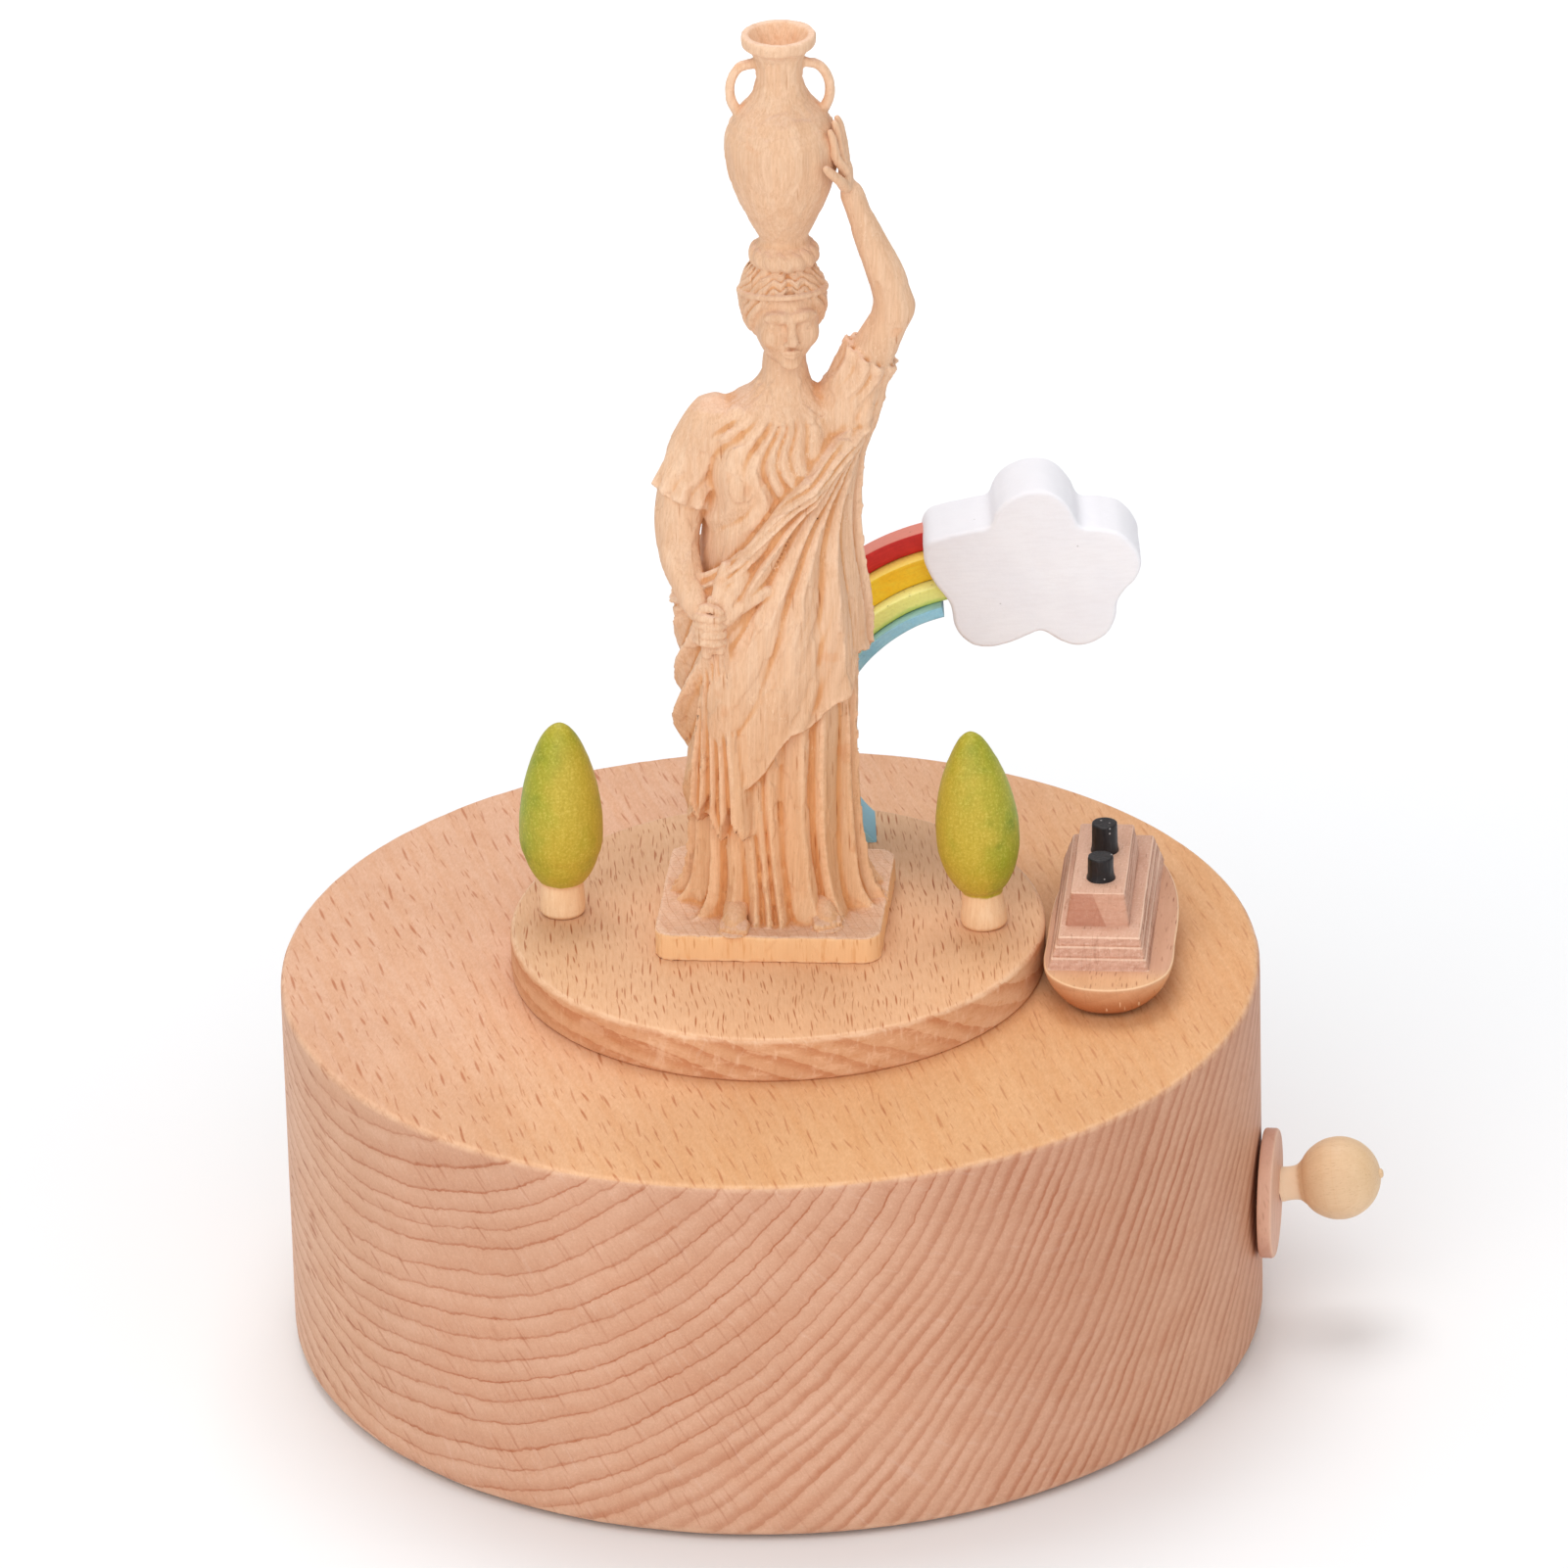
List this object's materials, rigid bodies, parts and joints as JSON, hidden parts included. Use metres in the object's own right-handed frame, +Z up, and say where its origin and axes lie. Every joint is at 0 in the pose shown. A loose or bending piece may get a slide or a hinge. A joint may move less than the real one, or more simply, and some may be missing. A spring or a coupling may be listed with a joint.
{
  "type": "hand-cranked wooden music box",
  "caption": "Hand-cranked wooden music box: turned drum with a side crank, carved figure, trees, rainbow and cloud on a platform, and a boat that a hidden magnet leads round.",
  "frame": {"origin": "centre of the round underside, on the surface that the box stands on", "axes": "+Z up; -Y towards the front; the crank points to +X, turned 8.5 degrees towards the front"},
  "size_m": [0.1235, 0.11, 0.1566],
  "materials": {
    "beech_drum": "turned beech, oiled, short dark flecks on top and growth rings on the side",
    "beech_cover": "turned beech, unfinished",
    "beech_platform": "turned beech, oiled, fine flecks",
    "beech_carved": "hand-carved beech with tool marks, oiled",
    "beech_disc": "turned beech, pinkish, oiled",
    "beech_hull": "beech, oiled, honey coloured",
    "beech_cabin": "beech, pinkish, open grain",
    "maple_knob": "pale turned knob, waxed",
    "dowel_wood": "plain beech dowel",
    "stained_green": "turned wood with a mottled yellow-green stain, bare pale trunk",
    "paint_red": "wood painted red, satin",
    "paint_orange": "wood painted orange, satin",
    "paint_yellow": "wood painted yellow, satin",
    "paint_blue": "wood painted light blue, satin",
    "paint_white": "wood painted white, matt",
    "paint_black": "wood painted black, satin",
    "felt_base": "thin brown felt",
    "felt_pad": "thin felt glide pad",
    "zinc_screw": "zinc plated",
    "steel_shaft": "ground steel",
    "comb_steel": "hardened steel comb",
    "zinc_frame": "stamped, zinc plated",
    "magnet_nickel": "nickel plated magnet",
    "brass_bush": "turned brass",
    "brass_gear": "cut and turned brass",
    "cast_bedplate": "cast and ground",
    "nylon_white": "white nylon washer"
  },
  "bodies": {
    "root": {"arbor_bush": "brass_bush", "arm_post": "steel_shaft", "arm_screw": "zinc_screw", "arm_washer": "nylon_white", "base_felt": "felt_base", "bedplate": "cast_bedplate", "bedplate_screws": "zinc_screw", "block_screws": "zinc_screw", "bottom_cover": "beech_cover", "bracket_screw": "zinc_screw", "carved_figure": "beech_carved", "cloud": "paint_white", "cloud_pin": "dowel_wood", "comb": "comb_steel", "comb_block": "cast_bedplate", "comb_screws": "zinc_screw", "cover_screws": "zinc_screw", "drum_body": "beech_drum", "figure_dowel": "dowel_wood", "pillar_screws": "zinc_screw", "pillars": "brass_gear", "platform_disc": "beech_platform", "platform_dowels": "dowel_wood", "rainbow_blue": "paint_blue", "rainbow_dowels": "dowel_wood", "rainbow_orange": "paint_orange", "rainbow_red": "paint_red", "rainbow_yellow": "paint_yellow", "shaft_bush": "brass_bush", "top_plate": "brass_gear", "tree_left": "stained_green", "tree_right": "stained_green", "worm_bracket": "zinc_frame"},
    "crank": {"crank_disc": "beech_disc", "crank_knob": "maple_knob", "crank_shaft": "steel_shaft", "shaft_collar": "steel_shaft", "worm": "brass_gear"},
    "cylinder": {"cylinder_arbor": "steel_shaft", "worm_wheel": "brass_gear", "cylinder_sleeve": "brass_gear", "cylinder_caps": "brass_gear", "cylinder_pins": "steel_shaft", "cylinder_pinion": "brass_gear"},
    "arm": {"arm_gear": "brass_gear", "magnet_arm": "zinc_frame", "arm_magnet": "magnet_nickel"},
    "boat": {"boat_hull": "beech_hull", "boat_lower_cabin": "beech_cabin", "boat_upper_cabin": "beech_cabin", "boat_funnels": "paint_black", "boat_magnet": "magnet_nickel", "boat_glide_pad": "felt_pad"}
  },
  "joints": [
    {"name": "cylinder_turn", "type": "hinge", "parent": "root", "child": "cylinder", "pos_m": [0.00217, 0.00776, 0.025], "axis": [0, 0, 1], "continuous": true},
    {"name": "crank_turn", "type": "hinge", "parent": "root", "child": "crank", "pos_m": [0.0544, -0.00813, 0.0173], "axis": [0.989, -0.1478, 0], "continuous": true},
    {"name": "arm_turn", "type": "hinge", "parent": "root", "child": "arm", "pos_m": [0.00099, -0.00015, 0.036], "axis": [0, 0, 1], "continuous": true},
    {"name": "boat_orbit", "type": "hinge", "parent": "root", "child": "boat", "pos_m": [0.00099, -0.00015, 0.046], "axis": [0, 0, 1], "continuous": true}
  ],
  "couplings": [
    {"joint": "crank_turn", "follows": "arm_turn", "ratio": 22},
    {"joint": "cylinder_turn", "follows": "arm_turn", "ratio": -1},
    {"joint": "boat_orbit", "follows": "arm_turn", "ratio": 1}
  ]
}
